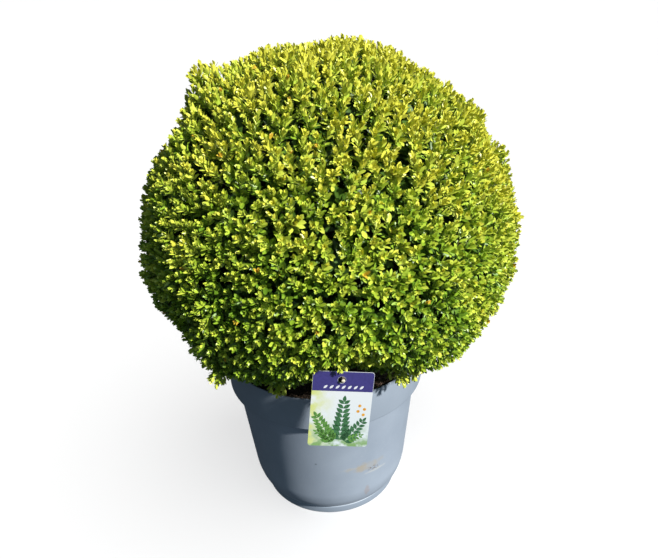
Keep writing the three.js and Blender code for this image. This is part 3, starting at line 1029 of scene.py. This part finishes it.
def add_soil():
    inside = POT_WALL + SOIL_GAP
    edge = RIM_RADIUS - inside
    profile = [
        (0, POT_FLOOR + SOIL_GAP),
        (HEEL[0][0] - inside, POT_FLOOR + SOIL_GAP),
        *[(radius - inside, height) for radius, height, _ in HEEL],
        (SHOULDER_RADIUS - inside, COLLAR_UNDER),
        (edge, COLLAR_BOTTOM + 1),
    ]
    profile += [(edge * ring / SOIL_RINGS, SOIL_TOP) for ring in range(SOIL_RINGS, -1, -1)]
    points, faces = turned(profile, SOIL_SIDES)
    points = [(x, y, soil_height(x, y) if z == SOIL_TOP else z) for x, y, z in points]
    # The last colour of each soil is its painted sunlit colour, used right of the label
    material = soil_material("compost", (0.03, 0.019, 0.012), (0.09, 0.058, 0.04), (0.36, 0.24, 0.18))
    new_piece("soil_bed", points, faces, material, "soil", ["soil"])
    chips = soil_material("bark_chips", (0.05, 0.031, 0.021), (0.14, 0.092, 0.064), (0.62, 0.46, 0.36))
    new_piece("soil_crumbs", *soil_crumbs(edge), chips, "soil", ["soil"], smooth=False)


def soil_crumbs(edge):
    """Small loose lumps and chips that lie on the soil."""
    corners = np.array([(1, 0, 0), (-1, 0, 0), (0, 1, 0), (0, -1, 0), (0, 0, 1), (0, 0, -1)], float)
    pattern = np.array([
        (0, 2, 4), (2, 1, 4), (1, 3, 4), (3, 0, 4), (2, 0, 5), (1, 2, 5), (3, 1, 5), (0, 3, 5),
    ])
    parts = []
    for i in range(CRUMB_COUNT):
        distance = (TRUNK_SEAT + 4) + (edge - TRUNK_SEAT - 8) * math.sqrt(random.uniform(0, 1))
        turn = random.uniform(0, 2 * math.pi)
        x = distance * math.cos(turn)
        y = distance * math.sin(turn)
        size = random.uniform(*CRUMB_SIZES) * CRUMB_SHAPE
        spin = Matrix.Rotation(random.uniform(0, 6.28), 3, "Z")
        tip = Matrix.Rotation(random.normal(0, 0.4), 3, "X")
        shape = corners * size * random.uniform(0.7, 1.3, corners.shape)
        place = np.array([x, y, soil_height(x, y) + 0.4])
        parts.append((shape @ np.array(spin @ tip).T + place, pattern))
    return joined(parts)


# Label

def label_seat():
    """Place of the label: X along it, Y up it and Z out of its face, in metres."""
    outward, side = level_directions(LABEL_AZIMUTH)
    tilt = math.radians(LABEL_TILT)
    up = Vector((0, 0, math.cos(tilt))) - outward * math.sin(tilt)
    face = side.cross(up)
    basis = Matrix((side, up, face)).transposed().to_4x4()
    roll = Matrix.Rotation(math.radians(-LABEL_ROLL), 4, "Z")
    return Matrix.Translation(Vector(LABEL_CENTRE) * MM) @ basis @ roll


def arc(x, y, radius, start, end, steps=8):
    """Points of an arc, its angles in degrees."""
    turns = np.radians(np.linspace(start, end, steps + 1))
    return [(x + radius * math.cos(turn), y + radius * math.sin(turn)) for turn in turns]


def top_edge(inset):
    """The card's top edge with its two round corners, from right to left."""
    x = LABEL_WIDTH / 2 - inset - LABEL_CORNER
    y = LABEL_HEIGHT / 2 - inset - LABEL_CORNER
    return arc(x, y, LABEL_CORNER, 0, 90) + arc(-x, y, LABEL_CORNER, 90, 180)


def card_outline():
    """The top edge, and the same turned round for the lower one."""
    top = top_edge(0)
    return top + [(-x, -y) for x, y in top]


def header_outline():
    right = LABEL_WIDTH / 2 - PRINT_INSET
    return top_edge(PRINT_INSET) + [(-right, HEADER_BOTTOM), (right, HEADER_BOTTOM)]


def slot_outline(margin):
    x, y = SLOT_CENTRE
    radius = SLOT_HEIGHT / 2 + margin
    half = SLOT_STRAIGHT / 2
    return arc(x + half, y, radius, -90, 90) + arc(x - half, y, radius, 90, 270)


def flat_shape(outlines, height, thickness):
    """A flat mesh from an outline and its hole, raised by a height."""
    curve = bpy.data.curves.new("outline", "CURVE")
    curve.dimensions = "2D"
    curve.fill_mode = "BOTH"
    curve.extrude = thickness / 2 * MM
    for outline in outlines:
        spline = curve.splines.new("POLY")
        spline.points.add(len(outline) - 1)
        for point, (x, y) in zip(spline.points, outline):
            point.co = (x * MM, y * MM, 0, 1)
        spline.use_cyclic_u = True
    carrier = bpy.data.objects.new("outline", curve)
    mesh = bpy.data.meshes.new_from_object(carrier)
    bpy.data.objects.remove(carrier)
    mesh.transform(Matrix.Translation((0, 0, (height + thickness / 2) * MM)))
    return mesh


def printed(outlines, layer):
    """A mesh of flat shapes just over the label's face, a step higher for each layer."""
    height = LABEL_THICKNESS + PRINT_STEP * layer
    mesh = bpy.data.meshes.new("print")
    points = []
    faces = []
    for outline in outlines:
        faces.append(list(range(len(points), len(points) + len(outline))))
        points += [(x * MM, y * MM, height * MM) for x, y in outline]
    mesh.from_pydata(points, [], faces)
    return mesh


def leaf_outline(x, y, length, breadth, angle):
    """A pointed oval from its root at a point, at an angle from upright."""
    turn = math.radians(angle)
    shares = np.linspace(0, 1, 9)
    right = [(0.5 * breadth * math.sin(math.pi * share**0.9), length * share) for share in shares]
    left = [(-across, along) for across, along in reversed(right[1:-1])]
    cos = math.cos(turn)
    sin = math.sin(turn)
    return [
        (x + across * cos + along * sin, y - across * sin + along * cos)
        for across, along in right + left
    ]


def sprig_outlines(x, y, length, lean, pairs, leaf_length):
    """Leaves in pairs up a drawn sprig, and one at its tip."""
    turn = math.radians(lean)

    def point(along):
        return x + along * math.sin(turn), y + along * math.cos(turn)

    outlines = []
    for i in range(pairs):
        root = point(length * (i + 0.6) / pairs)
        size = leaf_length * (1 - 0.45 * i / pairs)
        for side in (-DRAWN_ANGLE, DRAWN_ANGLE):
            outlines.append(leaf_outline(*root, size, 0.5 * size, lean + side))
    return outlines + [leaf_outline(*point(length), 0.6 * leaf_length, 0.3 * leaf_length, lean)]


def add_film(shader):
    """The clear film over the card and its print."""
    shader.inputs["Coat Weight"].default_value = 0.4
    shader.inputs["Coat Roughness"].default_value = 0.15


def card_material():
    """Pale card with soft washes of yellow-green to the left and low down."""
    material, shader = new_material("card_print", (0.50, 0.54, 0.56), 0.35)
    place = object_place(material)
    parts = split(place)
    blots = grain(place, 55, 4)
    rise = ranged(parts["Y"], -0.05, 0.03, 0, 1)
    sky = ramp(rise, (0.0, (0.47, 0.53, 0.56)), (1.0, (0.52, 0.55, 0.58)))
    left = ranged(parts["X"], -0.048, -0.008, 0.9, 0)
    left = combined("MULTIPLY", left, ranged(blots, 0.36, 0.6, 0, 1))
    color = painted(sky, left, (0.42, 0.47, 0.10))
    low = ranged(parts["Y"], -0.064, -0.02, 0.95, 0)
    low = combined("MULTIPLY", low, ranged(blots, 0.45, 0.62, 1, 0))
    color = painted(color, low, (0.14, 0.26, 0.08))
    paint(shader, color)
    add_film(shader)
    return material


def print_material(name, color, dark):
    """Printing ink with a little unevenness."""
    material, shader = new_material(name, color, 0.35)
    mottle = ramp(grain(object_place(material), 260, 3), (0.4, dark), (0.6, color))
    paint(shader, mottle)
    add_film(shader)
    return material


def add_label(seat):
    def add(name, mesh, material):
        finished(name, mesh, material, ["label"], smooth=False, place=seat)

    add("label_card", flat_shape([card_outline(), slot_outline(0)], 0, LABEL_THICKNESS), card_material())
    violet = print_material("ink_violet", (0.036, 0.031, 0.148), (0.031, 0.027, 0.128))
    header = flat_shape([header_outline(), slot_outline(PRINT_GAP)], LABEL_THICKNESS, PRINT_STEP)
    add("label_header", header, violet)
    white = print_material("ink_white", (0.54, 0.56, 0.60), (0.50, 0.52, 0.56))
    row = [leaf_outline(-30 + 9.5 * i, 37.5, 8.5, 3.8, 45) for i in range(7)]
    add("label_row", printed(row, 2), white)
    dark_green = print_material("ink_green", (0.042, 0.128, 0.055), (0.024, 0.080, 0.034))
    fan = sprig_outlines(2, -60, 74, 2, 9, 20) + sprig_outlines(9, -62, 50, 34, 7, 16)
    add("label_sprigs", printed(fan, 2), dark_green)
    mid_green = print_material("ink_leaf", (0.095, 0.225, 0.045), (0.055, 0.15, 0.035))
    side = sprig_outlines(-9, -62, 56, -30, 8, 18) + sprig_outlines(-2, -56, 36, -66, 5, 12)
    side += sprig_outlines(14, -56, 24, 66, 4, 10)
    add("label_side_sprigs", printed(side, 3), mid_green)
    orange = print_material("ink_orange", (0.55, 0.29, 0.03), (0.46, 0.20, 0.025))
    blooms = [arc(x, y, 2.6, 0, 330, 11) for x, y in ((30, 8), (38, 2), (28, -2), (37, -8))]
    add("label_blooms", printed(blooms, 3), orange)


def add_hook(seat, bark):
    """The twig that comes out of the crown, dips, and goes through the label's slot."""
    x = SLOT_CENTRE[0] + HOOK_SIDE
    y = SLOT_CENTRE[1] + SLOT_HEIGHT / 2 - HOOK_RADIUS - 0.3
    inner = np.array(seat @ Vector((x * MM, y * MM, -HOOK_RUN * MM))) / MM
    outer = np.array(seat @ Vector((x * MM, y * MM, HOOK_PROUD * MM))) / MM
    start = np.array(HOOK_START, float)
    dip = np.array(HOOK_DIP, float)
    middle = (dip + inner) / 2
    starts = np.array([start, middle])
    bends = np.array([dip, inner * 0.5 + middle * 0.5 + np.array([0, 0, -3])])
    ends = np.array([middle, inner])
    parts = [tubes(starts, bends, ends, HOOK_RADIUS, HOOK_RADIUS, 12, 8)]
    straight = np.array([inner])
    end = np.array([outer])
    parts.append(tubes(straight, (straight + outer) / 2, end, HOOK_RADIUS, HOOK_RADIUS - 0.3, 12, 3))
    points, faces = joined(parts)
    new_piece("label_twig", points, faces, bark, "bark", ["foliage"])
    pale, shader = new_material("cut_wood", (0.55, 0.50, 0.38), 0.7)
    rings = grain(object_place(pale), 900, 2)
    color = ramp(rings, (0.4, (0.48, 0.42, 0.30)), (0.6, (0.66, 0.62, 0.50)))
    paint(shader, color)
    away = unit(outer - inner)
    points, faces = tubes(end, end + away * 0.5, end + away, HOOK_RADIUS - 0.3, 0.05, 12, 2)
    new_piece("label_twig_end", points, faces, pale, "bark", ["foliage"])


# Room

def add_floor():
    material, shader = new_material("studio_floor", (0.82, 0.82, 0.82), 0.9)
    clouds = grain(object_place(material), 0.6, 2)
    color = ramp(clouds, (0.3, (0.815, 0.815, 0.815)), (0.7, (0.825, 0.825, 0.825)))
    paint(shader, color)
    mesh = bpy.data.meshes.new("studio_floor")
    corners = [(x * FLOOR_REACH, y * FLOOR_REACH, 0) for x, y in ((-1, -1), (1, -1), (1, 1), (-1, 1))]
    mesh.from_pydata(corners, [], [(0, 1, 2, 3)])
    mesh.materials.append(material)
    floor = bpy.data.objects.new("studio_floor", mesh)
    floor.visible_diffuse = False
    floor.visible_glossy = False
    show(floor)
    return floor


def add_camera():
    data = bpy.data.cameras.new("camera")
    data.sensor_fit = "HORIZONTAL"
    data.sensor_width = SENSOR_WIDTH
    data.lens = CAMERA_LENS
    camera = bpy.data.objects.new("camera", data)
    show(camera)
    pitch = Matrix.Rotation(math.radians(90 - CAMERA_PITCH), 4, "X")
    roll = Matrix.Rotation(math.radians(CAMERA_ROLL), 4, "Z")
    camera.matrix_world = Matrix.Translation(CAMERA_PLACE) @ pitch @ roll
    bpy.context.scene.camera = camera


def add_sun(name, azimuth, elevation, angle, strength, color):
    """A far lamp, by its direction from the plant and the angle it covers, in degrees."""
    rise = math.radians(elevation)
    toward = level_directions(azimuth)[0] * math.cos(rise) + Vector(UP) * math.sin(rise)
    data = bpy.data.lights.new(name, "SUN")
    data.energy = strength
    data.angle = math.radians(angle)
    data.color = color
    lamp = bpy.data.objects.new(name, data)
    lamp.rotation_euler = toward.to_track_quat("Z", "Y").to_euler()
    show(lamp)
    return lamp


def aim(lamp, thing, state):
    """Make a lamp light one thing only, or all but that thing."""
    group = bpy.data.collections.new(f"{lamp.name}_group")
    group.objects.link(thing)
    group.collection_objects[0].light_linking.link_state = state
    lamp.light_linking.receiver_collection = group


def add_lights(floor):
    """Lamps for all but the floor, and lamps for the floor alone."""
    for name, values in PLANT_LAMPS.items():
        aim(add_sun(name, *values), floor, "EXCLUDE")
    for name, values in FLOOR_LAMPS.items():
        aim(add_sun(name, *values), floor, "INCLUDE")
    bpy.data.lights["floor_fill"].use_shadow = False


def add_room():
    """Pale surroundings that are seen but give no light."""
    world = bpy.data.worlds.new("studio")
    world.use_nodes = True
    background = world.node_tree.nodes["Background"]
    background.inputs["Color"].default_value = (*ROOM_COLOR, 1)
    world.cycles_visibility.diffuse = False
    world.cycles_visibility.glossy = False
    bpy.context.scene.world = world
    bpy.context.scene.view_settings.view_transform = "Standard"


def main():
    add_camera()
    add_room()
    add_lights(add_floor())
    seat = label_seat()
    fork, axis, feet, tips = make_sprays()
    low_feet, low_tips = np.array(LOW_SHOOTS, float).transpose(1, 0, 2)
    feet = np.concatenate([feet, low_feet])
    tips = np.concatenate([tips, low_tips])
    tone = leaf_tones(tips, unit(tips - CROWN_CENTRE))
    tone[-len(low_feet):] = LOW_TONE
    over_feet, over_tips = np.array(OVER_LABEL, float).transpose(1, 0, 2)
    over_tone = np.full(len(over_feet), LOW_TONE)
    over = clear_of_card(shoot_leaves(over_feet, over_tips, over_tone), seat)
    outer = clear_leaves(shoot_leaves(feet, tips, tone), seat)
    inner = clear_leaves(inner_leaves(fork, axis), seat)
    old = clear_leaves(old_leaves(), seat)
    add_leaves(gathered([outer, inner, old, over]))
    add_shoots(np.concatenate([feet, over_feet]), np.concatenate([tips, over_tips]))
    bark = bark_material()
    add_boughs(bark, fork, axis)
    add_trunk(bark)
    add_pot()
    add_soil()
    add_label(seat)
    add_hook(seat, bark)


main()
